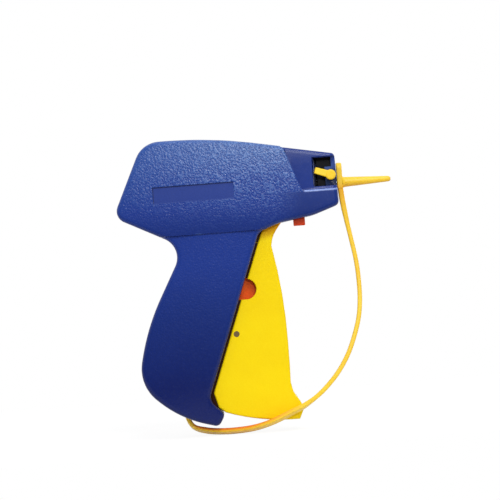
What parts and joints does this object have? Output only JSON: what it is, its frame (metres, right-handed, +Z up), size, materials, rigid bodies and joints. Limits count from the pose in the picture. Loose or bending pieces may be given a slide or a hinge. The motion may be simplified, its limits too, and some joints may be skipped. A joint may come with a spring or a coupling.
{
  "type": "garment tag attacher",
  "caption": "Pistol-shaped hand tool that drives plastic fasteners through cloth: squeeze trigger, capped hollow needle, cap strap, needle lock and clip slot.",
  "frame": {"origin": "deepest point of the throat behind the grip, on the plane where the two shells meet", "axes": "+X the way the needle points, +Z up to the top of the body, +Y to the side away from the needle lock"},
  "size_m": [0.1374, 0.0287, 0.1482],
  "materials": {
    "shell": "fine-grained moulded ABS",
    "trigger": "satin moulded plastic",
    "lever": "satin acetal",
    "black": "moulded nylon",
    "lock": "moulded acetal",
    "wheel": "natural acetal",
    "release": "moulded plastic",
    "cap": "soft flexible plastic",
    "steel": "ground steel"
  },
  "bodies": {
    "housing": {"right_shell": "shell", "left_shell": "shell", "housing_screws": "steel", "trigger_pin": "steel", "fulcrum_pin": "steel", "needle": "steel", "needle_base": "black", "clip_guide": "black", "feed_shaft": "steel", "index_spring": "steel", "return_spring": "steel", "release_spring": "steel", "cap_strap": "cap"},
    "trigger": {"trigger": "trigger", "link_pin": "steel"},
    "lever": {"drive_lever": "lever"},
    "slider": {"slider": "black", "slider_pin": "steel", "push_rod": "steel"},
    "lock": {"needle_lock": "lock"},
    "wheel": {"feed_wheel": "wheel"},
    "rocker": {"feed_rocker": "lever"},
    "release": {"release_button": "release"},
    "cap": {"needle_cap": "cap"}
  },
  "joints": [
    {"name": "trigger_squeeze", "type": "hinge", "parent": "housing", "child": "trigger", "pos_m": [0.0528, 0, 0.018], "axis": [0, 1, 0], "range_deg": [0, 20], "stiffness_Nm_per_rad": 1.2, "springref_deg": -14.32, "deforming": ["return_spring"]},
    {"name": "lever_turn", "type": "hinge", "parent": "housing", "child": "lever", "pos_m": [0.0217, 0, -0.0096], "axis": [0, 1, 0], "range_deg": [0, 57]},
    {"name": "slider_stroke", "type": "slide", "parent": "housing", "child": "slider", "axis": [1, 0, 0], "range_m": [0, 0.044]},
    {"name": "needle_lock_turn", "type": "hinge", "parent": "housing", "child": "lock", "pos_m": [0.0792, 0, 0.035], "axis": [0, 1, 0], "range_deg": [0, 50]},
    {"name": "feed_wheel_turn", "type": "hinge", "parent": "housing", "child": "wheel", "pos_m": [0.066, 0.0062, 0.038], "axis": [1, 0, 0], "continuous": true},
    {"name": "rocker_tilt", "type": "hinge", "parent": "housing", "child": "rocker", "pos_m": [0.053, 0.008, 0.044], "axis": [0, 1, 0], "range_deg": [-4, 3]},
    {"name": "release_press", "type": "slide", "parent": "housing", "child": "release", "axis": [0, 0, 1], "range_m": [0, 0.002], "stiffness_N_per_m": 300, "springref_m": -0.001, "deforming": ["release_spring"]},
    {"name": "cap_pull", "type": "slide", "parent": "housing", "child": "cap", "axis": [1, 0, 0], "range_m": [0, 0.028], "deforming": ["cap_strap"]}
  ],
  "couplings": [
    {"joint": "lever_turn", "follows": "trigger_squeeze", "ratio": 2.85},
    {"joint": "slider_stroke", "follows": "trigger_squeeze", "m_per_rad": 0.12605}
  ]
}
